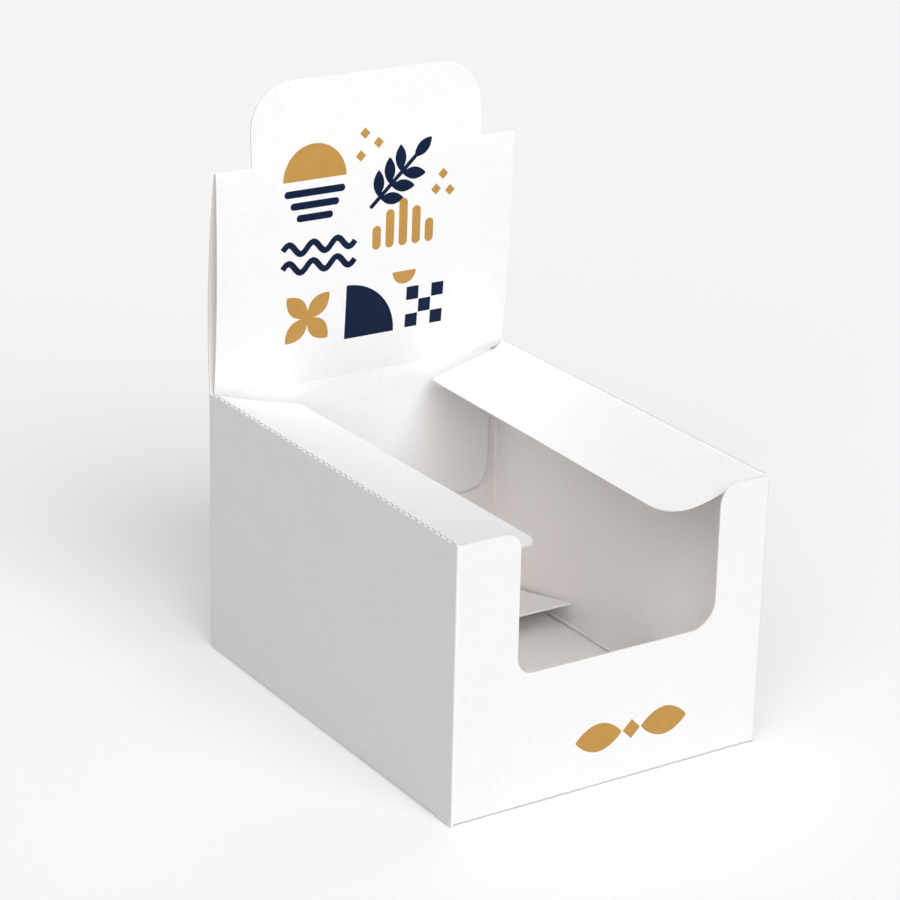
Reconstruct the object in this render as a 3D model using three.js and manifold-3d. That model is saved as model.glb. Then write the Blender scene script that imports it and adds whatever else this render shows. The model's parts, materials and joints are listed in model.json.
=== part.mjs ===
// Counter display box: a paperboard tray with a cut-out front, two drooping top flaps
// on perforated creases, a closed tuck bottom and a double header that is folded over
// at its shoulders and leaves a crest standing.
// Millimetres, +Z up. The front panel faces -Y and the box's left wall is at -X.
// Origin: middle of the footprint, on the surface that the box stands on.
import * as THREE from "three";
import { mergeVertices } from "three/addons/utils/BufferGeometryUtils.js";
import Module from "manifold-3d";

const wasm = await Module();
wasm.setup();

// Board and folds
const board = 0.6; // thickness of the paperboard
const clearance = 0.3; // between pieces that move past each other
const foldRadius = 0.9; // outside radius of the tube's upright folds
const beadRadius = 0.7; // ridge that a fold raises on the inner face
const creaseRadius = 0.45; // bend radius of a tight crease, at mid board
const scoreDepth = 0.05; // how far the scoring rule nips each face of the board
const rootDepth = 3; // how far a folded panel is carried into the panel it grows from

// Tray
const trayWidth = 125;
const trayDepth = 165;
const trayHeight = 100;

// Glue seam at the rear left corner
const glueFlapWidth = 14;
const glueFlapTaper = 7; // height lost at the flap's free edge, top and bottom
const seamStep = 0.3; // raw end of the back wall, in from the left face
const seamGapAngle = 110; // degrees round the fold where the glue line starts

// Cut-out in the front panel
const leftEarWidth = 24.2;
const rightEarWidth = 20.5;
const cutoutSill = 49;
const leftEarRadius = 6;
const rightEarRadius = 7.5;
const leftSillRadius = 6.6;
const rightSillRadius = 9.5;

// Top flaps
const flapFrontReach = 38; // crease to free edge, at the front end
const flapRearReach = 35;
const flapFrontInset = 4.6; // flap's front edge, back from the front panel's face
const flapRearInset = 6.2;
const flapFrontRadius = 12;
const flapRearRadius = 3;
const flapReliefDepth = 2.6; // how far the flap narrows just past its crease
const flapReliefLength = 5;
const flapDroop = 14; // degrees below level, crease to free edge
const flapDroopChange = 5; // the flap leaves its crease steeper by this, and ends flatter

// Perforated crease that carries each top flap
const perforationPitch = 3.67;
const perforationCut = 2.2;
const perforationWidth = 0.35;
const perforationDepth = 0.45;
const perforationNotch = 0.25; // mark that each cut leaves in the flap's edge
const creaseFrontGap = 0.5; // between the front corner fold and the crease's end
const creaseRearInset = 3.5; // crease's end, in from the back wall's face

// Header
const shoulderHeight = 182; // floor to the top of the shoulder folds
const shoulderWidth = 14.6; // outer edge to the crest
const crestRise = 29.5; // above the shoulders
const crestRadius = 17;
const crestTilt = 3.5; // degrees that the crest leans back
const headerLean = 5; // the shoulder folds stand forward of the back wall by this
const headerSideInset = 0.2;
const headerFootInset = 1;
const rearBow = 2.5; // the rear sheet bows back
const frontBow = 1.5; // the front sheet bows forward
const headerFootDrop = 2.5; // front sheet's lower crease, below the tray's rim
const tuckDepth = 56.2; // header tuck, below the front sheet's lower crease
const tuckSideInset = 5.5;
const tuckRadius = 9;

// Dust flaps on the feet of the front and back walls
const dustFlapLength = 58;
const dustFlapRightInset = 1.6;
const dustFlapTaper = 3;
const dustFlapTaperLength = 12;
const dustFlapReliefLength = 3;
const dustFlapRootAngle = 6; // degrees above level where the flap leaves its crease
const dustFlapTipAngle = 17;

// Bottom panel and its tuck
const bottomSideInset = 0.4;
const bottomTuckHeight = 18;
const bottomTuckEndInset = 6;
const bottomTuckRadius = 10;
const leftFootRelief = 0.8; // the left wall's foot stands clear of the floor by this
const leftFootReliefInset = 3;
const leftFootReliefRamp = 9;

// Fineness
const curveSteps = 10;
const arcSteps = 6;
const overrun = 5; // how far a cutting tool runs past the board

// Values that follow from the sizes above
const right = trayWidth / 2;
const left = -right;
const back = trayDepth / 2;
const front = -back;
const rimAxisHeight = trayHeight - board; // the top flaps turn about the side walls' inner rims
const rimAxisX = right - board;
const wallFoot = board + clearance; // front and back walls stand on the bottom panel
const foldTop = shoulderHeight - creaseRadius - board / 2;
const foldY = back - board / 2 - headerLean;
const headerFoot = trayHeight - headerFootDrop;
const tuckY = back - 2 * board - clearance - board / 2;
const crestTop = shoulderHeight + crestRise;
const crestHalf = right - shoulderWidth;
const perforationStart = front + foldRadius + creaseFrontGap + perforationPitch / 2;
const perforationEnd = back - creaseRearInset;
const perforationCount = Math.floor((perforationEnd - perforationStart) / perforationPitch);

const radians = THREE.MathUtils.degToRad;

// Solids and how they are joined

function solidOf(geometry) {
  const bare = geometry.clone();
  bare.deleteAttribute("normal");
  bare.deleteAttribute("uv");
  const merged = mergeVertices(bare, 1e-5);
  return new wasm.Manifold(
    new wasm.Mesh({
      numProp: 3,
      vertProperties: merged.attributes.position.array,
      triVerts: new Uint32Array(merged.index.array),
    }),
  );
}

function geometryOf(solid) {
  const mesh = solid.getMesh();
  const geometry = new THREE.BufferGeometry();
  geometry.setAttribute("position", new THREE.BufferAttribute(mesh.vertProperties, mesh.numProp));
  geometry.setIndex(new THREE.BufferAttribute(mesh.triVerts, 1));
  return geometry;
}

function union(solids) {
  return solids.reduce((whole, piece) => whole.add(piece));
}

function extruded(shape, depth) {
  return new THREE.ExtrudeGeometry(shape, { depth, bevelEnabled: false, curveSegments: arcSteps });
}

// A plan outline (x, y) raised from one height to another.
function upright(shape, low, high) {
  return solidOf(extruded(shape, high - low).translate(0, 0, low));
}

// A side outline (y, z) run from left to right.
function acrossWidth(shape, low, high) {
  const turn = new THREE.Matrix4().makeBasis(
    new THREE.Vector3(0, 1, 0),
    new THREE.Vector3(0, 0, 1),
    new THREE.Vector3(1, 0, 0),
  );
  return solidOf(extruded(shape, high - low).applyMatrix4(turn).translate(low, 0, 0));
}

// A front outline (x, z) run from the back to the front.
function acrossDepth(shape, low, high) {
  const turn = new THREE.Matrix4().makeBasis(
    new THREE.Vector3(1, 0, 0),
    new THREE.Vector3(0, 0, 1),
    new THREE.Vector3(0, -1, 0),
  );
  return solidOf(extruded(shape, high - low).applyMatrix4(turn).translate(0, high, 0));
}

function boxBetween(low, high) {
  const size = high.map((value, axis) => value - low[axis]);
  const middle = high.map((value, axis) => (value + low[axis]) / 2);
  return solidOf(new THREE.BoxGeometry(...size).translate(...middle));
}

// Section of a sheet of board that follows a centre line. Its first and last few points can be
// nipped thinner, so that they lie inside the panel that the sheet grows from.
function sheetSection(path, { nippedStart = 0, nippedEnd = 0 } = {}) {
  const line = path.getPoints(curveSteps);
  const last = line.length - 1;
  const edge = (side) =>
    line.map((point, i) => {
      const along = new THREE.Vector2()
        .subVectors(line[Math.min(i + 1, last)], line[Math.max(i - 1, 0)])
        .normalize();
      const nipped = i < nippedStart || i > last - nippedEnd;
      const half = side * (board / 2 - (nipped ? scoreDepth : 0));
      return new THREE.Vector2(point.x - along.y * half, point.y + along.x * half);
    });
  return new THREE.Shape([...edge(1), ...edge(-1).reverse()]);
}

// Walls of the tray, as one closed tube of board with its glue seam at the rear left

function tubeSection() {
  const radius = foldRadius;
  const seamY = back - board;
  const outline = new THREE.Shape();
  outline.moveTo(left, front + radius);
  outline.absarc(left + radius, front + radius, radius, Math.PI, 1.5 * Math.PI, false);
  outline.absarc(right - radius, front + radius, radius, 1.5 * Math.PI, 2 * Math.PI, false);
  outline.absarc(right - radius, back - radius, radius, 0, 0.5 * Math.PI, false);
  outline.lineTo(left + seamStep, back);
  outline.lineTo(left + seamStep, seamY);
  outline.lineTo(left + radius + radius * Math.cos(radians(seamGapAngle)), seamY);
  outline.absarc(left + radius, seamY - radius, radius, radians(seamGapAngle), Math.PI, false);
  outline.closePath();

  const inner = right - board;
  const innerFront = front + board;
  const innerBack = back - board;
  const glueY = innerBack - board;
  const inside = new THREE.Path();
  inside.moveTo(-inner, glueY - beadRadius);
  inside.absarc(-inner, innerFront, beadRadius, 0.5 * Math.PI, 0, true);
  inside.absarc(inner, innerFront, beadRadius, Math.PI, 0.5 * Math.PI, true);
  inside.absarc(inner, innerBack, beadRadius, 1.5 * Math.PI, Math.PI, true);
  inside.lineTo(left + glueFlapWidth, innerBack);
  inside.lineTo(left + glueFlapWidth, glueY);
  inside.absarc(-inner, glueY, beadRadius, 0, -0.5 * Math.PI, true);
  outline.holes.push(inside);
  return outline;
}

function cutout() {
  const from = left + leftEarWidth;
  const to = right - rightEarWidth;
  const above = trayHeight + overrun;
  const shape = new THREE.Shape();
  shape.moveTo(from - leftEarRadius, above);
  shape.absarc(from - leftEarRadius, trayHeight - leftEarRadius, leftEarRadius, 0.5 * Math.PI, 0, true);
  shape.absarc(from + leftSillRadius, cutoutSill + leftSillRadius, leftSillRadius, Math.PI, 1.5 * Math.PI, false);
  shape.absarc(to - rightSillRadius, cutoutSill + rightSillRadius, rightSillRadius, -0.5 * Math.PI, 0, false);
  shape.absarc(to + rightEarRadius, trayHeight - rightEarRadius, rightEarRadius, Math.PI, 0.5 * Math.PI, true);
  shape.lineTo(to + rightEarRadius, above);
  shape.closePath();
  return acrossDepth(shape, front - overrun, front + overrun);
}

// Trims the glue flap's free corners at the slant that lets it slip in under the back wall.
function glueFlapTrim() {
  const free = left + glueFlapWidth;
  const root = left + board + beadRadius;
  const low = back - 2 * board - clearance;
  const high = back - board;
  const trims = [0, trayHeight].map((edge) => {
    const towardMiddle = edge === 0 ? 1 : -1;
    const slant = new THREE.Shape();
    slant.moveTo(root, edge - towardMiddle * overrun);
    slant.lineTo(root, edge + towardMiddle * wallFoot);
    slant.lineTo(free + overrun, edge + towardMiddle * (wallFoot + glueFlapTaper));
    slant.lineTo(free + overrun, edge - towardMiddle * overrun);
    slant.closePath();
    return acrossDepth(slant, low, high);
  });
  return union(trims);
}

// The left wall's raw foot is cut back between its ends, where the bottom panel folds up inside.
function leftFootTrim() {
  const from = front + leftFootReliefInset;
  const to = back - leftFootReliefInset;
  const shape = new THREE.Shape();
  shape.moveTo(from, -overrun);
  shape.lineTo(from, 0);
  shape.lineTo(from + leftFootReliefRamp, leftFootRelief);
  shape.lineTo(to - leftFootReliefRamp, leftFootRelief);
  shape.lineTo(to, 0);
  shape.lineTo(to, -overrun);
  shape.closePath();
  return acrossWidth(shape, left - overrun, left + board + beadRadius);
}

function trayWalls() {
  const rimFrom = front + foldRadius;
  const rimTo = back - foldRadius;
  const footTop = wallFoot + foldRadius;
  const walls = upright(tubeSection(), 0, trayHeight);
  const trims = [
    cutout(),
    glueFlapTrim(),
    leftFootTrim(),
    boxBetween([left - overrun, rimFrom, rimAxisHeight], [right + overrun, rimTo, trayHeight + overrun]),
    boxBetween([left + board, front - overrun, -overrun], [right - board, back + overrun, footTop]),
  ];
  return trims.reduce((whole, tool) => whole.subtract(tool), walls);
}

// Perforated creases along the rims of the side walls

function perforationCentres() {
  return Array.from({ length: perforationCount }, (_, i) => perforationStart + (i + 0.5) * perforationPitch);
}

function rimRoll(side) {
  const from = front + foldRadius + creaseFrontGap;
  const shape = new THREE.Shape();
  shape.absarc(side * rimAxisX, rimAxisHeight, board - scoreDepth, 0, 2 * Math.PI, false);
  const roll = acrossDepth(shape, from, perforationEnd);
  const cuts = perforationCentres().map((y) =>
    solidOf(
      new THREE.BoxGeometry(perforationWidth, perforationCut, 2 * perforationDepth)
        .translate(0, 0, board)
        .rotateY(side * radians(45))
        .translate(side * rimAxisX, y, rimAxisHeight),
    ),
  );
  return cuts.reduce((whole, cut) => whole.subtract(cut), roll);
}

// Ridge of the crease where the bottom panel is hinged on the right wall's foot
function footBead() {
  const shape = new THREE.Shape();
  shape.absarc(right - board, wallFoot + beadRadius, beadRadius, 0.5 * Math.PI, 1.5 * Math.PI, false);
  shape.lineTo(right - scoreDepth, wallFoot);
  shape.lineTo(right - scoreDepth, wallFoot + 2 * beadRadius);
  shape.closePath();
  return acrossDepth(shape, front + board + beadRadius, back - board - beadRadius);
}

// Header: rear sheet, shoulder folds, front sheet with the crest, and the tuck inside the tray

function bowed(path, from, to, bow) {
  const middle = new THREE.Vector2().addVectors(from, to).multiplyScalar(0.5);
  path.quadraticCurveTo(middle.x + 2 * bow, middle.y, to.x, to.y);
}

function crestOutline(mirrored) {
  const turn = mirrored ? -1 : 1;
  const rise = (height) => shoulderHeight + turn * height;
  const steps = Array.from({ length: arcSteps + 1 }, (_, i) => (i / arcSteps) * 0.5 * Math.PI);
  const corner = (side, angle) =>
    new THREE.Vector2(
      side * (crestHalf - crestRadius + crestRadius * Math.cos(angle)),
      rise(crestRise - crestRadius + crestRadius * Math.sin(angle)),
    );
  return [
    new THREE.Vector2(crestHalf, rise(0)),
    ...steps.map((angle) => corner(1, angle)),
    ...steps.reverse().map((angle) => corner(-1, angle)),
    new THREE.Vector2(-crestHalf, rise(0)),
  ];
}

function rearSheet() {
  const y = back - board / 2;
  const rim = new THREE.Vector2(y, trayHeight);
  const fold = new THREE.Vector2(foldY + creaseRadius, foldTop);
  const path = new THREE.Path();
  path.moveTo(y, trayHeight - rootDepth);
  path.lineTo(rim.x, rim.y);
  bowed(path, rim, fold, rearBow);
  path.absarc(foldY, foldTop, creaseRadius, 0, Math.PI, false);
  path.lineTo(foldY - creaseRadius, foldTop - rootDepth);
  const width = right - headerSideInset;
  const sheet = acrossWidth(sheetSection(path, { nippedStart: 2, nippedEnd: 2 }), -width, width);
  const hole = new THREE.Shape([
    new THREE.Vector2(crestHalf, shoulderHeight + overrun),
    ...crestOutline(true),
    new THREE.Vector2(-crestHalf, shoulderHeight + overrun),
  ]);
  return sheet.subtract(acrossDepth(hole, back - headerLean - overrun, back + overrun));
}

function frontSheetOutline() {
  const top = right - headerSideInset;
  const foot = right - headerFootInset;
  const tuckHalf = right - tuckSideInset;
  const tuckLow = headerFoot - tuckDepth;
  const corner = tuckLow + tuckRadius;
  const shape = new THREE.Shape();
  shape.moveTo(-tuckHalf, corner);
  shape.absarc(-tuckHalf + tuckRadius, corner, tuckRadius, Math.PI, 1.5 * Math.PI, false);
  shape.absarc(tuckHalf - tuckRadius, corner, tuckRadius, -0.5 * Math.PI, 0, false);
  shape.lineTo(tuckHalf, headerFoot);
  shape.lineTo(foot, headerFoot + board);
  shape.lineTo(top, foldTop + clearance);
  shape.lineTo(crestHalf, foldTop + clearance);
  crestOutline(false).forEach((point) => shape.lineTo(point.x, point.y));
  shape.lineTo(-crestHalf, foldTop + clearance);
  shape.lineTo(-top, foldTop + clearance);
  shape.lineTo(-foot, headerFoot + board);
  shape.lineTo(-tuckHalf, headerFoot);
  shape.closePath();
  return shape;
}

function frontSheet() {
  const fold = new THREE.Vector2(foldY - creaseRadius, foldTop);
  const foot = new THREE.Vector2(tuckY, headerFoot);
  const rise = crestTop + overrun - foldTop;
  const path = new THREE.Path();
  path.moveTo(fold.x + rise * Math.tan(radians(crestTilt)), foldTop + rise);
  path.lineTo(fold.x, fold.y);
  bowed(path, fold, foot, -frontBow);
  path.lineTo(tuckY, headerFoot - tuckDepth - overrun);
  const sheet = acrossWidth(sheetSection(path), left, right);
  return sheet.intersect(acrossDepth(frontSheetOutline(), foldY - 4 * overrun, back + overrun));
}

// Dust flaps, folded in above the bottom panel and sprung up a little

const bottomFoldX = left + board + clearance; // outer face of the bottom panel's tuck
const tuckSwing = right - bottomFoldX;
const tuckTipX = right - Math.sqrt(tuckSwing ** 2 - bottomTuckHeight ** 2); // so that it swings clear
const dustFlapLeft = tuckTipX + board + 2 * clearance;

function dustFlap(end) {
  const wall = end * (back - board / 2);
  const inward = -end;
  const bendY = wall + inward * creaseRadius;
  const bendZ = wallFoot + board / 2 + creaseRadius;
  const tipRise = (Math.tan(radians(dustFlapRootAngle)) + Math.tan(radians(dustFlapTipAngle))) / 2;
  const halfLength = dustFlapLength / 2;
  const level = wallFoot + board / 2;
  const path = new THREE.Path();
  path.moveTo(wall, bendZ + rootDepth);
  path.lineTo(wall, bendZ + clearance);
  path.lineTo(wall, bendZ);
  path.absarc(bendY, bendZ, creaseRadius, end > 0 ? 0 : Math.PI, -0.5 * Math.PI, end > 0);
  path.quadraticCurveTo(
    bendY + inward * halfLength,
    level + halfLength * Math.tan(radians(dustFlapRootAngle)),
    bendY + inward * dustFlapLength,
    level + dustFlapLength * tipRise,
  );
  const sheet = acrossWidth(sheetSection(path, { nippedStart: 2 }), left + board, right - board);
  return sheet.intersect(upright(dustFlapPlan(end), 0, trayHeight));
}

function dustFlapPlan(end) {
  const root = back - board - dustFlapReliefLength;
  const tip = back - dustFlapLength - board;
  const flapRight = right - board - dustFlapRightInset;
  const from = left + board;
  const to = right - board;
  const points = [
    [from, back + overrun],
    [from, back - foldRadius],
    [dustFlapLeft, root],
    [dustFlapLeft, tip + dustFlapTaperLength],
    [dustFlapLeft + dustFlapTaper, tip - overrun],
    [flapRight - dustFlapTaper, tip - overrun],
    [flapRight, tip + dustFlapTaperLength],
    [flapRight, root],
    [to, back - foldRadius],
    [to, back + overrun],
  ];
  return new THREE.Shape(points.map(([x, y]) => new THREE.Vector2(x, end * y)));
}

// Bottom panel, hinged on the right wall's foot, with the tuck that goes up inside the left wall

function bottomPanel() {
  const bend = creaseRadius + board / 2;
  const foldX = bottomFoldX + bend;
  const path = new THREE.Path();
  path.moveTo(right - board - clearance, board / 2);
  path.lineTo(foldX, board / 2);
  path.absarc(foldX, bend, creaseRadius, 1.5 * Math.PI, Math.PI, true);
  path.lineTo(tuckTipX + board / 2, bottomTuckHeight);
  const low = front + bottomSideInset;
  const high = back - bottomSideInset;
  const panel = acrossDepth(sheetSection(path), low, high);
  const tuckLow = front + bottomTuckEndInset;
  const tuckHigh = back - bottomTuckEndInset;
  const corner = bottomTuckHeight - bottomTuckRadius;
  const panelTop = board + scoreDepth;
  const outline = new THREE.Shape();
  outline.moveTo(low - overrun, -overrun);
  outline.lineTo(high + overrun, -overrun);
  outline.lineTo(high + overrun, panelTop);
  outline.lineTo(tuckHigh, panelTop);
  outline.absarc(tuckHigh - bottomTuckRadius, corner, bottomTuckRadius, 0, 0.5 * Math.PI, false);
  outline.absarc(tuckLow + bottomTuckRadius, corner, bottomTuckRadius, 0.5 * Math.PI, Math.PI, false);
  outline.lineTo(tuckLow, panelTop);
  outline.lineTo(low - overrun, panelTop);
  outline.closePath();
  return panel.intersect(acrossWidth(outline, left - overrun, right + overrun));
}

// Top flaps, each in its own frame: its crease axis is the Y axis and it reaches out level

function flapPlan(side) {
  const start = board + clearance;
  const notch = start + perforationNotch;
  const hingeFront = front + foldRadius + creaseFrontGap;
  const edgeFront = front + flapFrontInset;
  const edgeRear = back - flapRearInset;
  const points = [];
  const add = (reach, y) => points.push(new THREE.Vector2(-side * reach, y));
  const round = (reach, y, radius, from, to) => {
    for (let i = 0; i <= arcSteps; i++) {
      const angle = from + ((to - from) * i) / arcSteps;
      add(reach + radius * Math.cos(angle), y + radius * Math.sin(angle));
    }
  };
  add(start, edgeFront - flapReliefDepth);
  add(start + flapReliefLength, edgeFront);
  round(flapFrontReach - flapFrontRadius, edgeFront + flapFrontRadius, flapFrontRadius, -0.5 * Math.PI, 0);
  round(flapRearReach - flapRearRadius, edgeRear - flapRearRadius, flapRearRadius, 0, 0.5 * Math.PI);
  add(start + flapReliefLength, edgeRear);
  add(start, edgeRear + (flapReliefDepth - clearance));
  perforationCentres()
    .filter((y) => y > hingeFront + perforationPitch && y < edgeRear - perforationPitch)
    .reverse()
    .forEach((y) => {
      add(start, y + perforationCut / 2);
      add(notch, y + perforationCut / 2);
      add(notch, y - perforationCut / 2);
      add(start, y - perforationCut / 2);
    });
  return new THREE.Shape(points);
}

function topFlap(side) {
  const reach = Math.max(flapFrontReach, flapRearReach) + overrun;
  const inward = -side;
  const sag = Math.tan(radians(flapDroopChange / 2)) * (reach / 2);
  const path = new THREE.Path();
  path.moveTo(0, board / 2);
  path.quadraticCurveTo((inward * reach) / 2, board / 2 - sag, inward * reach, board / 2);
  const sheet = acrossDepth(sheetSection(path), front, back);
  return sheet.intersect(upright(flapPlan(side), -overrun, overrun));
}

// The assembly

const looks = { color: 0xf3f2f0, roughness: 0.6, metalness: 0 };

function node(name, solid) {
  const mesh = new THREE.Mesh(geometryOf(solid), new THREE.MeshStandardMaterial(looks));
  mesh.name = name;
  return mesh;
}

const cartonBody = node(
  "carton_body",
  union([trayWalls(), rimRoll(-1), rimRoll(1), footBead(), rearSheet(), frontSheet(), dustFlap(-1), dustFlap(1)]),
);

const leftTopFlap = node("left_top_flap", topFlap(-1));
leftTopFlap.position.set(-rimAxisX, 0, rimAxisHeight);
leftTopFlap.rotation.y = radians(flapDroop);

const rightTopFlap = node("right_top_flap", topFlap(1));
rightTopFlap.position.set(rimAxisX, 0, rimAxisHeight);
rightTopFlap.rotation.y = -radians(flapDroop);

const displayBox = new THREE.Group();
displayBox.add(cartonBody, leftTopFlap, rightTopFlap, node("bottom_panel", bottomPanel()));

export default displayBox;
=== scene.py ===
"""Counter display box: board, perforated creases and print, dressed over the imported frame.

Metres, +Z up. The front panel faces -Y and the left wall is at -X, as in the frame.
"""
import json
import math

import bmesh
import bpy
from mathutils import Matrix, Vector
from mathutils.bvhtree import BVHTree


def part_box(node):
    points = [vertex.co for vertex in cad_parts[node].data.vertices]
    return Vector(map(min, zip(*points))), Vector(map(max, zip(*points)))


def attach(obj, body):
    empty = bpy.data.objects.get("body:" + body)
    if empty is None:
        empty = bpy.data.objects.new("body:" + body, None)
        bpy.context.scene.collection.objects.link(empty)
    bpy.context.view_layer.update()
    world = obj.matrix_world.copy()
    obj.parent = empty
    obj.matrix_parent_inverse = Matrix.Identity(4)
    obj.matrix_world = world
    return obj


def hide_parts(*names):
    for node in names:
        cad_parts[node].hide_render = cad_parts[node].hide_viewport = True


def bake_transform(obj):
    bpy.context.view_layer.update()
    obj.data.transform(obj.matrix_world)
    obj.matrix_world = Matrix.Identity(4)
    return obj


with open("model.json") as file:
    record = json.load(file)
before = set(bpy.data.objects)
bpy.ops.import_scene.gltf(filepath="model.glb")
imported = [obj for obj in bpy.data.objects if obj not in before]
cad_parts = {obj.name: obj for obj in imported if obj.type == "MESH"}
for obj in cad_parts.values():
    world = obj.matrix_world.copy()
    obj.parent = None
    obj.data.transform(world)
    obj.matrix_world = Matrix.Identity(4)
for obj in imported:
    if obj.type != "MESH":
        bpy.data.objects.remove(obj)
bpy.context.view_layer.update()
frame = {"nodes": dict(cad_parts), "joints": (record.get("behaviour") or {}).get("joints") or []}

MM = 0.001

# Board
BOARD = 0.6 * MM
FOLD_RADIUS = 0.9 * MM
WELD = 0.0005 * MM

# Places read from the frame
hinges = {joint["name"]: Vector(joint["pos_m"]) for joint in frame["joints"]}
carton_low, carton_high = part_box("carton_body")
RIGHT = carton_high.x
LEFT = -RIGHT
FRONT = carton_low.y
BACK = -FRONT
RIM = hinges["left_flap_crease"].z + BOARD

# Header
SHOULDER = 182 * MM
SHOULDER_WIDTH = 14.6 * MM
CREST_HALF = RIGHT - SHOULDER_WIDTH
HEADER_FOOT = RIM - 2.5 * MM
HEADER_FOOT_MIDDLE = BACK - 1.05 * MM  # between the two sheets, at the front sheet's foot
HEADER_TOP_MIDDLE = BACK - 5.3 * MM  # between the two sheets, under the shoulder folds
TUCK_DEPTH = 56.2 * MM
TUCK_FRONT = BACK - 2.4 * MM
TUCK_BACK = BACK - 1.35 * MM
TUCK_SLACK = 4 * MM

# Flaps
FLAP_DROOP = math.radians(14)
FLAP_ROOT_SLOPE = math.tan(math.radians(2.5))

# Perforated creases
PERFORATION_PITCH = 3.67 * MM
PERFORATION_CUT = 2.4 * MM
CREASE_START = FRONT + FOLD_RADIUS + 0.5 * MM
CREASE_END = BACK - 3.5 * MM
BOTTOM_CREASE_INSET = 0.9 * MM
FLAP_END_GAP = 2 * MM  # where the rolled rim stops, before the back wall's face


# Node helpers


def new_material(name):
    material = bpy.data.materials.new(name)
    material.use_nodes = True
    nodes = material.node_tree.nodes
    nodes.clear()
    output = nodes.new("ShaderNodeOutputMaterial")
    shader = nodes.new("ShaderNodeBsdfPrincipled")
    material.node_tree.links.new(shader.outputs["BSDF"], output.inputs["Surface"])
    return material, shader


def object_noise(tree, scale, detail, stretch=(1, 1, 1)):
    """Noise in the frame's own coordinates; scale is in waves a metre."""
    place = tree.nodes.new("ShaderNodeTexCoord")
    mapping = tree.nodes.new("ShaderNodeMapping")
    mapping.inputs["Scale"].default_value = stretch
    noise = tree.nodes.new("ShaderNodeTexNoise")
    noise.inputs["Scale"].default_value = scale
    noise.inputs["Detail"].default_value = detail
    tree.links.new(place.outputs["Object"], mapping.inputs["Vector"])
    tree.links.new(mapping.outputs["Vector"], noise.inputs["Vector"])
    return noise.outputs["Fac"]


def ramp(tree, value, span, low_colour, high_colour):
    """A colour that changes from one to another over a span of the value."""
    node = tree.nodes.new("ShaderNodeValToRGB")
    for element, position, colour in zip(node.color_ramp.elements, span, (low_colour, high_colour)):
        element.position = position
        element.color = (*colour, 1)
    tree.links.new(value, node.inputs["Fac"])
    return node.outputs["Color"]


def blend_colours(tree, how, factor, first, second):
    node = tree.nodes.new("ShaderNodeMix")
    node.data_type = "RGBA"
    node.blend_type = how
    node.inputs["Factor"].default_value = factor
    tree.links.new(first, node.inputs["A"])
    tree.links.new(second, node.inputs["B"])
    return node.outputs["Result"]


def value_range(tree, value, low, high):
    node = tree.nodes.new("ShaderNodeMapRange")
    node.inputs["To Min"].default_value = low
    node.inputs["To Max"].default_value = high
    tree.links.new(value, node.inputs["Value"])
    return node.outputs["Result"]


def bump(tree, heights):
    """One bump node after another; heights holds pairs of (value, height in metres)."""
    normal = None
    for value, height in heights:
        node = tree.nodes.new("ShaderNodeBump")
        node.inputs["Strength"].default_value = 1
        node.inputs["Distance"].default_value = height
        tree.links.new(value, node.inputs["Height"])
        if normal is not None:
            tree.links.new(normal, node.inputs["Normal"])
        normal = node.outputs["Normal"]
    return normal


# Materials; scales of noise are in waves a metre

CLOUD = 70
MOTTLE = 420
GRAIN = 1500
INK_CLOUD = 110
INK_GRAIN = 1700
ALONG_THE_SHEET = (1, 2.4, 1)  # how the fibres are drawn out

# The span of each noise over which a tone changes
CLOUD_SPAN = (0.3, 0.7)
MOTTLE_SPAN = (0.36, 0.64)
FLECK_SPAN = (0.28, 0.62)
INK_CLOUD_SPAN = (0.3, 0.72)
INK_FLECK_SPAN = (0.3, 0.6)

# The least light that mottle and flecks leave
WHITE = (1, 1, 1)
MOTTLE_TONE = (0.983, 0.982, 0.981)
FLECK_TONE = (0.965, 0.963, 0.96)
INK_FLECK_TONE = (0.9, 0.9, 0.9)

ROUGHNESS_PLAY = 0.08
GRAIN_SHARE = 0.4  # the grain's height over that of the fibres
INK_ROUGHNESS = 0.5
INK_SPECULAR = 0.1
INK_GRAIN_HEIGHT = 0.004 * MM


def board_material(name, light, dark, roughness, fibre_height, specular):
    """Paperboard: clouds, mottle and fine grain, with a height and roughness that follow them."""
    material, shader = new_material(name)
    tree = material.node_tree
    cloud = object_noise(tree, CLOUD, detail=3)
    grain = object_noise(tree, GRAIN, detail=3)
    fibre = object_noise(tree, MOTTLE, detail=4, stretch=ALONG_THE_SHEET)
    tone = ramp(tree, cloud, CLOUD_SPAN, dark, light)
    mottle = ramp(tree, fibre, MOTTLE_SPAN, MOTTLE_TONE, WHITE)
    fleck = ramp(tree, grain, FLECK_SPAN, FLECK_TONE, WHITE)
    clouded = blend_colours(tree, "MULTIPLY", 1, tone, mottle)
    colour = blend_colours(tree, "MULTIPLY", 1, clouded, fleck)
    tree.links.new(colour, shader.inputs["Base Color"])
    rough = value_range(tree, grain, roughness - ROUGHNESS_PLAY, roughness + ROUGHNESS_PLAY)
    tree.links.new(rough, shader.inputs["Roughness"])
    shader.inputs["Specular IOR Level"].default_value = specular
    normal = bump(tree, [(fibre, fibre_height), (grain, fibre_height * GRAIN_SHARE)])
    tree.links.new(normal, shader.inputs["Normal"])
    return material


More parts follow.
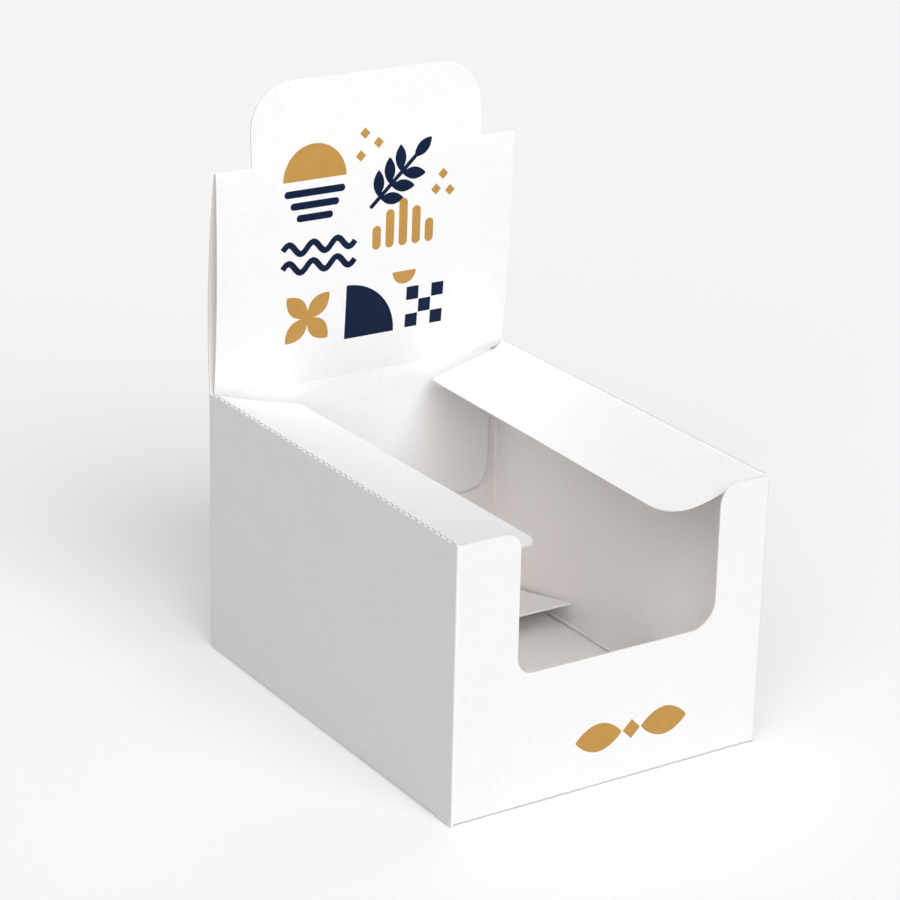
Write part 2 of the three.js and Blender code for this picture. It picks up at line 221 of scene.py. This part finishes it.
def ink_material(name, light, dark):
    """Flat print on coated board: an even colour that thins a little in the grain."""
    material, shader = new_material(name)
    tree = material.node_tree
    cloud = object_noise(tree, INK_CLOUD, detail=4)
    grain = object_noise(tree, INK_GRAIN, detail=2)
    tone = ramp(tree, cloud, INK_CLOUD_SPAN, dark, light)
    fleck = ramp(tree, grain, INK_FLECK_SPAN, INK_FLECK_TONE, WHITE)
    tree.links.new(blend_colours(tree, "MULTIPLY", 1, tone, fleck), shader.inputs["Base Color"])
    rough = value_range(tree, grain, INK_ROUGHNESS - ROUGHNESS_PLAY, INK_ROUGHNESS + ROUGHNESS_PLAY)
    tree.links.new(rough, shader.inputs["Roughness"])
    shader.inputs["Specular IOR Level"].default_value = INK_SPECULAR
    tree.links.new(bump(tree, [(grain, INK_GRAIN_HEIGHT)]), shader.inputs["Normal"])
    return material


# Each kind of board: light tone, dark tone, roughness, height of the fibres, specular level
BOARDS = {
    "coated_board": ((0.908, 0.91, 0.912), (0.896, 0.898, 0.9), 0.5, 0.006 * MM, 0.35),
    "uncoated_board": ((0.96, 0.929, 0.91), (0.946, 0.912, 0.892), 0.86, 0.014 * MM, 0.2),
    "raw_edge": ((0.9, 0.887, 0.872), (0.85, 0.832, 0.812), 0.9, 0.02 * MM, 0.15),
    "torn_fibre": ((0.95, 0.945, 0.94), (0.9, 0.895, 0.885), 0.9, 0.03 * MM, 0.15),
    # The kind for the faces inside the perforation slots is far darker than the raw edge: partly the
    # cut fibres' own grey, mostly painted shade for the shadow in the slots.
    "slot_painted_shade": ((0.56, 0.542, 0.528), (0.5, 0.483, 0.47), 0.95, 0.03 * MM, 0.1),
}
SIDE_MATERIALS = [board_material(name, *look) for name, look in BOARDS.items()]
dark_ink = ink_material("dark_ink", (0.006, 0.016, 0.053), (0.004, 0.012, 0.041))
ochre_ink = ink_material("ochre_ink", (0.545, 0.309, 0.086), (0.507, 0.284, 0.075))

# The board's sides, in the order of the kinds above; the faces inside the slots get the painted
# shade
SIDES = {"coated": 0, "uncoated": 1, "edge": 2, "torn": 3, "slot": 4}


# Which side of the board a face belongs to

FLAT = 0.3  # a normal's share along an axis, below which the face doesn't look that way
EDGE_ON = 0.7


def tube_depth(point):
    """How far a point lies inside the tray's outer face, whose upright folds are round."""
    dx = abs(point.x) - (RIGHT - FOLD_RADIUS)
    dy = abs(point.y) - (BACK - FOLD_RADIUS)
    return FOLD_RADIUS - math.hypot(max(dx, 0), max(dy, 0)) - min(max(dx, dy), 0)


def wall_side(point, normal):
    if abs(normal.z) > EDGE_ON:
        return "edge"
    depth = tube_depth(point)
    if depth < BOARD / 4:
        return "coated"
    return "uncoated" if depth > BOARD * 3 / 4 else "edge"


def between_sheets(z):
    """Depth (y) of the middle of the header, between its two sheets, at a height."""
    rise = (z - HEADER_FOOT) / (SHOULDER - HEADER_FOOT)
    return HEADER_FOOT_MIDDLE + rise * (HEADER_TOP_MIDDLE - HEADER_FOOT_MIDDLE)


def header_side(point, normal):
    on_fold = point.z > SHOULDER - FOLD_RADIUS and abs(point.x) > CREST_HALF
    if abs(normal.x) > EDGE_ON:
        return "edge"
    if on_fold and normal.z > FLAT:
        return "coated"
    if abs(normal.y) < EDGE_ON:
        return "edge"
    is_front = point.y < between_sheets(point.z) or point.z > SHOULDER
    return "coated" if (normal.y < 0) == is_front else "uncoated"


def carton_side(point, normal):
    on_tuck = TUCK_FRONT < point.y < TUCK_BACK and point.z > RIM - TUCK_DEPTH - TUCK_SLACK
    at_roll = point.z > RIM - 1.5 * BOARD and abs(point.x) > RIGHT - 2 * BOARD
    if point.z > RIM + WELD or on_tuck:
        return header_side(point, normal)
    if at_roll and abs(point.y) < BACK - FLAP_END_GAP:
        return "coated"
    if tube_depth(point) > 2 * BOARD and abs(normal.z) > FLAT:
        return "uncoated" if normal.z > 0 else "coated"
    return wall_side(point, normal)


def level_side(point, normal):
    """Sheets that lie about level with their coated face up."""
    if abs(normal.z) < EDGE_ON:
        return "edge"
    return "coated" if normal.z > 0 else "uncoated"


def bottom_side(point, normal):
    if normal.z > EDGE_ON and point.z < 2 * BOARD:
        return "uncoated"
    if normal.z < -FLAT or normal.x < -FLAT:
        return "coated"
    return "uncoated" if normal.x > EDGE_ON and point.x < 0 else "edge"


# Pieces made from the frame's nodes

SHARP = math.radians(38)
PLANAR = math.radians(0.05)
AREA_WEIGHT = 100  # on the modifier's scale, where 50 is neutral and more favours large faces


def linked(name, mesh, materials):
    for material in materials:
        mesh.materials.append(material)
    piece = bpy.data.objects.new(name, mesh)
    bpy.context.scene.collection.objects.link(piece)
    return piece


def shade(bm):
    """Smooth shading, kept crisp at the board's cut edges."""
    for face in bm.faces:
        face.smooth = True
    for edge in bm.edges:
        edge.smooth = edge.is_manifold and edge.calc_face_angle(0) < SHARP


def flat_faces_first(piece):
    """Normals that follow the large flat faces, so that a fold's curve stays in the fold."""
    modifier = piece.modifiers.new("flat_faces_first", "WEIGHTED_NORMAL")
    modifier.weight = AREA_WEIGHT
    modifier.keep_sharp = True


def board_piece(name, node, body, side_of):
    bm = bmesh.new()
    bm.from_mesh(frame["nodes"][node].data)
    bmesh.ops.remove_doubles(bm, verts=bm.verts, dist=WELD)
    bmesh.ops.dissolve_limit(bm, angle_limit=PLANAR, verts=bm.verts, edges=bm.edges)
    bm.normal_update()
    for face in bm.faces:
        face.material_index = SIDES[side_of(face.calc_center_median(), face.normal)]
    shade(bm)
    mesh = bpy.data.meshes.new(name)
    bm.to_mesh(mesh)
    bm.free()
    piece = linked(name, mesh, SIDE_MATERIALS)
    flat_faces_first(piece)
    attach(piece, body)
    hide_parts(node)


board_piece("carton_board", "carton_body", "carton", carton_side)
board_piece("left_flap_board", "left_top_flap", "left_flap", level_side)
board_piece("right_flap_board", "right_top_flap", "right_flap", level_side)
board_piece("bottom_board", "bottom_panel", "bottom", bottom_side)


# Strips of board shaped round the creases' folds


def strip_mesh(name, sections, sides):
    """A closed strip through equal sections; sides names the board's side after each point."""
    bm = bmesh.new()
    rows = [[bm.verts.new(point) for point in section] for section in sections]
    count = len(rows[0])
    for first, second in zip(rows, rows[1:]):
        for i in range(count):
            j = (i + 1) % count
            face = bm.faces.new((first[i], first[j], second[j], second[i]))
            face.material_index = SIDES[sides[i]]
    for row in (rows[0], rows[-1]):
        bm.faces.new(row).material_index = SIDES["edge"]
    bmesh.ops.recalc_face_normals(bm, faces=bm.faces)
    shade(bm)
    mesh = bpy.data.meshes.new(name)
    bm.to_mesh(mesh)
    bm.free()
    return mesh


LIP_RUN = 0.5 * MM  # the lips run on past each cut
LIP_FALL = 4  # how late the lips fall off towards their ends
CUT_STEP = 0.03 * MM  # length over which a cut opens
STRIP_REACH = 1.4 * MM
STRIP_FOOT = 0.4 * MM  # the strip starts this far down the wall
SUNK = 0.02 * MM
# The fold's rounded top, closed: degrees round its axis from the flap's side
CLOSED_TOP = [180, 168, 156, 147, 138, 102, 86, 78]
# The same points where it is cut open and its lips stand up, in mm from the axis
OPEN_TOP = [(-0.6, 0.02), (-0.55, 0.28), (-0.45, 0.53), (-0.33, 0.6)]
OPEN_TOP += [(-0.28, 0), (0.8, -0.1), (0.36, 0.68), (0.5, 0.72)]
TOP_SIDES = ["torn", "torn", "torn", "slot", "slot", "slot", "torn", "torn"]
# The flap's root: reach along the flap and rise above it in mm, closed and cut open
CLOSED_ROOT = [(0.15, 0), (0.45, 0), (0.75, 0), (1.05, 0)]
OPEN_ROOT = [(0.56, 0.2), (0.75, 0.15), (0.95, 0.08), (1.15, 0.02)]


def polar(angle, radius):
    return radius * math.cos(angle), radius * math.sin(angle)


def on_flap(reach, height):
    """A point given along and above the drooping flap, turned into the level section."""
    cos, sin = math.cos(FLAP_DROOP), math.sin(FLAP_DROOP)
    return reach * cos + height * sin, height * cos - reach * sin


def between(first, second, share):
    return [a + (b - a) * share for a, b in zip(first, second)]


def crease_section(is_open, lip):
    """Points of the fold's section round its axis, with the side of the board after each."""
    points = [((-BOARD + SUNK / 2, -STRIP_FOOT), "coated")]
    for degrees, opened, side in zip(CLOSED_TOP, OPEN_TOP, TOP_SIDES):
        closed = polar(math.radians(degrees), BOARD / MM)
        stays_closed = side == "slot" and not is_open
        u, v = closed if stays_closed else between(closed, opened, lip)
        points.append(((u * MM, v * MM), side))
    for closed, opened in zip(CLOSED_ROOT, OPEN_ROOT):
        reach, rise = between(closed, opened, lip)
        height = BOARD - reach * MM * FLAP_ROOT_SLOPE + rise * MM
        points.append((on_flap(reach * MM, height + SUNK / 2), "torn"))
    end_height = BOARD - STRIP_REACH * FLAP_ROOT_SLOPE - SUNK
    points.append((on_flap(STRIP_REACH, end_height), "uncoated"))
    points.append((on_flap(STRIP_REACH, 2 * SUNK), "uncoated"))
    points.append((on_flap(BOARD / 2, 2 * SUNK), "uncoated"))
    points.append(((0, -SUNK), "uncoated"))
    points.append(((-BOARD / 2, -STRIP_FOOT), "uncoated"))
    return points


def perforation_middles():
    first = CREASE_START + PERFORATION_PITCH / 2
    count = math.floor((CREASE_END - first) / PERFORATION_PITCH)
    return [first + (i + 0.5) * PERFORATION_PITCH for i in range(count)]


def crease_stations():
    """Places along the crease, each with whether it is cut through and how high its lips stand."""
    half = PERFORATION_CUT / 2
    offsets = [(-half - LIP_RUN, False), (-half, False), (-half + CUT_STEP, True), (-half / 2, True)]
    offsets += [(0, True)] + [(-offset, is_open) for offset, is_open in reversed(offsets)]
    stations = [(CREASE_START + CUT_STEP, False, 0)]
    for middle in perforation_middles():
        for offset, is_open in offsets:
            lip = 1 - (offset / (half + LIP_RUN)) ** LIP_FALL
            stations.append((middle + offset, is_open, lip))
    stations.append((CREASE_END - CUT_STEP, False, 0))
    return stations


def crease_strip(name, joint, side):
    """The perforated fold between a side wall and its top flap; side is -1 for the left wall."""
    axis = hinges[joint]
    sections = []
    for y, is_open, lip in crease_stations():
        section = crease_section(is_open, lip)
        sections.append([(axis.x - side * u, y, axis.z + v) for (u, v), _ in section])
    sides = [after for _, after in section]
    piece = linked(name, strip_mesh(name, sections, sides), SIDE_MATERIALS)
    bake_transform(piece)


crease_strip("left_crease", "left_flap_crease", -1)
crease_strip("right_crease", "right_flap_crease", 1)


# The bottom's fold round its axis in mm, with the side of the board after each point
BOTTOM_FOLD = [
    ((-1.1, 0.02), "coated"),
    ((-0.42, 0), "coated"),
    ((-0.13, 0.08), "coated"),
    ((-0.03, 0.24), "coated"),
    ((0, 0.6), "coated"),
    ((-0.02, 1.2), "uncoated"),
    ((-0.58, 1.2), "uncoated"),
    ((-0.58, 0.62), "uncoated"),
    ((-1.1, 0.58), "edge"),
]


def bottom_crease_strip():
    """The fold between the right wall's foot and the bottom panel."""
    axis = hinges["bottom_crease"]
    ends = (FRONT + BOTTOM_CREASE_INSET, BACK - BOTTOM_CREASE_INSET)
    sections = [[(axis.x + u * MM, y, axis.z + v * MM) for (u, v), _ in BOTTOM_FOLD] for y in ends]
    mesh = strip_mesh("bottom_crease", sections, [after for _, after in BOTTOM_FOLD])
    piece = linked("bottom_crease", mesh, SIDE_MATERIALS)
    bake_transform(piece)


bottom_crease_strip()


# Print: thin closed patches laid on the board

INK_PROUD = 0.01 * MM
INK_SUNK = 0.03 * MM
ROUND_STEPS = 28  # to half a turn
LEAST_STEPS = 4
LEAF_FULLNESS = 0.8  # lower is blunter
RIBBON_STEPS = 12  # to a wave
BEFORE_THE_BOX = -1.0
HEIGHT_DIGITS = 6  # heights are told apart to a thousandth of a millimetre

carton_mesh = frame["nodes"]["carton_body"].data
carton_tree = BVHTree.FromPolygons(
    [v.co for v in carton_mesh.vertices], [polygon.vertices for polygon in carton_mesh.polygons]
)


def board_levels():
    """Heights at which the front sheet's facets meet, so that a patch can bend where they do."""
    points = [v.co for v in carton_mesh.vertices if v.co.z > RIM and v.co.y < between_sheets(v.co.z)]
    return sorted({round(point.z, HEIGHT_DIGITS) for point in points})


def disc(x, z, radius, start=0, end=360):
    steps = max(LEAST_STEPS, round(ROUND_STEPS * abs(end - start) / 180))
    turns = [math.radians(start + (end - start) * i / steps) for i in range(steps + 1)]
    if abs(end - start) >= 360:
        turns.pop()
    return [(x + radius * math.cos(t), z + radius * math.sin(t)) for t in turns]


def sector(x, z, radius, start, end):
    return [(x, z), *disc(x, z, radius, start, end)]


def turned(points, x, z, degrees):
    cos, sin = math.cos(math.radians(degrees)), math.sin(math.radians(degrees))
    return [(x + u * cos - v * sin, z + u * sin + v * cos) for u, v in points]


def leaf(x, z, length, width, degrees):
    """A leaf with its stalk end at (x, z)."""
    steps = ROUND_STEPS // 2
    shares = [i / steps for i in range(steps + 1)]
    upper = [(length * t, width / 2 * math.sin(math.pi * t) ** LEAF_FULLNESS) for t in shares]
    lower = [(u, -v) for u, v in reversed(upper[1:-1])]
    return turned(upper + lower, x, z, degrees)


def bar(x, z, length, width, degrees=0):
    """A bar with round ends, centred on (x, z)."""
    half, radius = length / 2 - width / 2, width / 2
    points = disc(half, 0, radius, -90, 90) + disc(-half, 0, radius, 90, 270)
    return turned(points, x, z, degrees)


def ribbon(x, z, length, width, height, waves):
    """A wavy band of even width."""
    steps = RIBBON_STEPS * waves
    upper, lower = [], []
    for i in range(steps + 1):
        turn = 2 * math.pi * waves * i / steps
        middle = Vector((x + length * i / steps, z + height * math.sin(turn)))
        slope = height * math.cos(turn) * 2 * math.pi * waves / length
        across = Vector((-slope, 1)).normalized() * width / 2
        upper.append(tuple(middle + across))
        lower.append(tuple(middle - across))
    return upper + lower[::-1]


def diamond(x, z, size):
    return [(x - size, z), (x, z - size), (x + size, z), (x, z + size)]


def square(x, z, size):
    half = size / 2
    return [(x - half, z - half), (x + half, z - half), (x + half, z + half), (x - half, z + half)]


def patch(bm, outline, levels):
    """Adds one printed patch, given as points (x, z) in metres, to the mesh."""
    flat = bmesh.new()
    flat.faces.new([flat.verts.new((x, 0, z)) for x, z in outline])
    for level in levels:
        geometry = flat.verts[:] + flat.edges[:] + flat.faces[:]
        cut = {"plane_co": (0, 0, level), "plane_no": (0, 0, 1)}
        bmesh.ops.bisect_plane(flat, geom=geometry, dist=WELD, **cut)
    bmesh.ops.triangulate(flat, faces=flat.faces[:])
    tops, feet = {}, {}
    for vert in flat.verts:
        start = Vector((vert.co.x, BEFORE_THE_BOX, vert.co.z))
        hit, normal, _, _ = carton_tree.ray_cast(start, Vector((0, 1, 0)))
        tops[vert.index] = bm.verts.new(hit + normal * INK_PROUD)
        feet[vert.index] = bm.verts.new(hit - normal * INK_SUNK)
    for face in flat.faces:
        corners = [v.index for v in face.verts]
        bm.faces.new([tops[i] for i in corners])
        bm.faces.new([feet[i] for i in reversed(corners)])
    for edge in flat.edges:
        if edge.is_boundary:
            a, b = (v.index for v in edge.verts)
            bm.faces.new((tops[a], tops[b], feet[b], feet[a]))
    flat.free()


def printed(name, outlines, origin, material):
    """A group of patches; outlines are in millimetres from origin, which is in metres."""
    levels = board_levels()
    bm = bmesh.new()
    for outline in outlines:
        patch(bm, [(origin[0] + x * MM, origin[1] + z * MM) for x, z in outline], levels)
    bmesh.ops.recalc_face_normals(bm, faces=bm.faces)
    shade(bm)
    mesh = bpy.data.meshes.new(name)
    bm.to_mesh(mesh)
    bm.free()
    piece = linked(name, mesh, [material])
    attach(piece, "carton")


# A sprig's lengths in mm
STALK_WIDTH = 1.6
LEAF_ROOT = 0.5  # from the stalk's middle line
TIP_OVERLAP = 1
# Where its pairs of leaves sit, in shares of the stalk's length
FIRST_PAIR = 0.2
PAIRS_SPAN = 0.72
LEAF_ANGLE = 48  # degrees from the stalk


def sprig(x, z, length, degrees, pairs, leaf_length, leaf_width):
    """A straight stalk with pairs of leaves and one at its tip."""
    shapes = [bar(length / 2, 0, length, STALK_WIDTH)]
    for i in range(pairs):
        at = length * (FIRST_PAIR + PAIRS_SPAN * i / pairs)
        for side in (-1, 1):
            shapes.append(leaf(at, side * LEAF_ROOT, leaf_length, leaf_width, side * LEAF_ANGLE))
    shapes.append(leaf(length - TIP_OVERLAP, 0, leaf_length, leaf_width, 0))
    return [turned(shape, x, z, degrees) for shape in shapes]


ART_ORIGIN = (LEFT + 25 * MM, 109 * MM)
MARK_ORIGIN = (LEFT + 48.5 * MM, 12.5 * MM)

# The motifs, in mm from the left lower corner of the header's print and of the front's
DIAMONDS = [(69, 61), (72, 54.5), (66, 55.5), (36, 80), (41.5, 76), (34, 72)]
STEMS = [9, 14.5, 18, 14.5, 9]
header_dark = [
    *sprig(38, 52, 26, 42, 3, 10, 4.6),
    *[bar(15, 61.5 - 4.6 * i, 25 - 5 * i, 2.7) for i in range(3)],
    ribbon(2, 41, 30, 2.4, 2, 3),
    ribbon(2, 34, 30, 2.4, 2, 3),
    sector(29, 3, 21, 0, 90),
    *[square(57.5 + 5.4 * i, 6 + 5.4 * j, 5.2) for i in range(3) for j in range(i % 2, 3, 2)],
]
header_ochre = [
    disc(15, 66, 13, 0, 180),
    *[leaf(13, 14, 12.5, 7, 45 + 90 * i) for i in range(4)],
    *[bar(41 + 5.6 * i, 36 + h / 2, h, 3.6, 90) for i, h in enumerate(STEMS)],
    sector(53.5, 26, 5, 180, 360),
    *[diamond(x, z, 2.1) for x, z in DIAMONDS],
]
front_ochre = [
    leaf(19, 6.2, 19, 10.5, 180),
    leaf(27, 6.2, 19, 10.5, 0),
    diamond(23, 6.2, 3.6),
]

printed("header_print_dark", header_dark, ART_ORIGIN, dark_ink)
printed("header_print_ochre", header_ochre, ART_ORIGIN, ochre_ink)
printed("front_print_ochre", front_ochre, MARK_ORIGIN, ochre_ink)


# Studio: a pale floor that runs out of sight, broad soft lamps and the room's own light

FLOOR_REACH = 30.0
# Each lamp's azimuth from straight in front towards the right, its elevation, and its strength
LAMPS = {
    "front": (0, 42, 2.18),
    "left": (-50, 30, 1.3),
    "left_high": (-50, 55, 0.4),
    "right_high": (100, 60, 0.55),
}
LAMP_SPREAD = math.radians(45)
ROOM_COLOUR = (1, 0.98, 0.97)
ROOM_STRENGTH = 0.05
BACKDROP_TONE = 0.89
FLOOR_LIGHT = (0.7, 0.7, 0.7)
FLOOR_DARK = (0.69, 0.69, 0.69)
FLOOR_LIFT = 0.238  # paleness added to the floor for the camera alone
FLOOR_BOUNCE = (0.5, 0.485, 0.48)  # what the floor throws back on the box
FLOOR_GRAIN = 900
FLOOR_ROUGHNESS = 0.9
FLOOR_SPECULAR = 0.1


def floor():
    bm = bmesh.new()
    corners = [(-1, -1), (1, -1), (1, 1), (-1, 1)]
    bm.faces.new([bm.verts.new((x * FLOOR_REACH, y * FLOOR_REACH, 0)) for x, y in corners])
    mesh = bpy.data.meshes.new("floor")
    bm.to_mesh(mesh)
    bm.free()
    material, shader = new_material("floor_paper")
    tree = material.node_tree
    grain = object_noise(tree, FLOOR_GRAIN, detail=2)
    tone = ramp(tree, grain, CLOUD_SPAN, FLOOR_DARK, FLOOR_LIGHT)
    rays = tree.nodes.new("ShaderNodeLightPath")
    glow = tree.nodes.new("ShaderNodeMath")
    glow.operation = "MULTIPLY"
    glow.inputs[1].default_value = FLOOR_LIFT
    tree.links.new(rays.outputs["Is Camera Ray"], glow.inputs[0])
    tree.links.new(glow.outputs["Value"], shader.inputs["Emission Strength"])
    shader.inputs["Emission Color"].default_value = (*WHITE, 1)
    seen = tree.nodes.new("ShaderNodeMix")
    seen.data_type = "RGBA"
    seen.inputs["A"].default_value = (*FLOOR_BOUNCE, 1)
    tree.links.new(rays.outputs["Is Camera Ray"], seen.inputs["Factor"])
    tree.links.new(tone, seen.inputs["B"])
    tree.links.new(seen.outputs["Result"], shader.inputs["Base Color"])
    shader.inputs["Roughness"].default_value = FLOOR_ROUGHNESS
    shader.inputs["Specular IOR Level"].default_value = FLOOR_SPECULAR
    piece = linked("floor", mesh, [material])
    piece.location.z = -SUNK


def direction(azimuth, elevation):
    """Unit vector; the azimuth is from straight in front of the box towards its right."""
    level = math.cos(elevation)
    return Vector((math.sin(azimuth) * level, -math.cos(azimuth) * level, math.sin(elevation)))


def lamp(name, azimuth, elevation, strength):
    """A broad soft lamp that shines on the box from a direction in degrees."""
    data = bpy.data.lights.new(name, "SUN")
    data.energy = strength
    data.angle = LAMP_SPREAD
    light = bpy.data.objects.new(name, data)
    towards = direction(math.radians(azimuth), math.radians(elevation))
    light.rotation_mode = "QUATERNION"
    light.rotation_quaternion = towards.to_track_quat("Z", "Y")
    light.location = towards
    bpy.context.scene.collection.objects.link(light)


def room_light():
    world = bpy.data.worlds.new("room")
    world.use_nodes = True
    tree = world.node_tree
    tree.nodes.clear()
    output = tree.nodes.new("ShaderNodeOutputWorld")
    room = tree.nodes.new("ShaderNodeBackground")
    room.inputs["Color"].default_value = (*ROOM_COLOUR, 1)
    room.inputs["Strength"].default_value = ROOM_STRENGTH
    backdrop = tree.nodes.new("ShaderNodeBackground")
    backdrop.inputs["Color"].default_value = (BACKDROP_TONE, BACKDROP_TONE, BACKDROP_TONE, 1)
    rays = tree.nodes.new("ShaderNodeLightPath")
    mix = tree.nodes.new("ShaderNodeMixShader")
    tree.links.new(rays.outputs["Is Camera Ray"], mix.inputs["Fac"])
    tree.links.new(room.outputs["Background"], mix.inputs[1])
    tree.links.new(backdrop.outputs["Background"], mix.inputs[2])
    tree.links.new(mix.outputs["Shader"], output.inputs["Surface"])
    bpy.context.scene.world = world


# Camera, as it stood for the photograph

CAMERA_PLACE = Vector((-539.6 * MM, -808.1 * MM, 463.6 * MM))
CAMERA_AZIMUTH = math.radians(-33.11)
CAMERA_ELEVATION = math.radians(20.87)
CAMERA_ROLL = math.radians(1.3)
SENSOR = 36
FOCAL_SHARE = 2988 / 900  # focal length over the picture's width
NEAR = 0.05
FAR = 100


def camera():
    data = bpy.data.cameras.new("camera")
    data.sensor_width = SENSOR
    data.lens = FOCAL_SHARE * SENSOR
    data.clip_start = NEAR
    data.clip_end = FAR
    view = bpy.data.objects.new("camera", data)
    backward = direction(CAMERA_AZIMUTH, CAMERA_ELEVATION)
    level = (-backward).cross(Vector((0, 0, 1))).normalized()
    upward = level.cross(-backward)
    right = math.cos(CAMERA_ROLL) * level + math.sin(CAMERA_ROLL) * upward
    up = math.cos(CAMERA_ROLL) * upward - math.sin(CAMERA_ROLL) * level
    turn = Matrix((right, up, backward)).transposed()
    view.matrix_world = Matrix.Translation(CAMERA_PLACE) @ turn.to_4x4()
    bpy.context.scene.collection.objects.link(view)
    bpy.context.scene.camera = view


floor()
for lamp_name, setting in LAMPS.items():
    lamp(lamp_name, *setting)
room_light()
camera()
bpy.context.scene.view_settings.view_transform = "Standard"
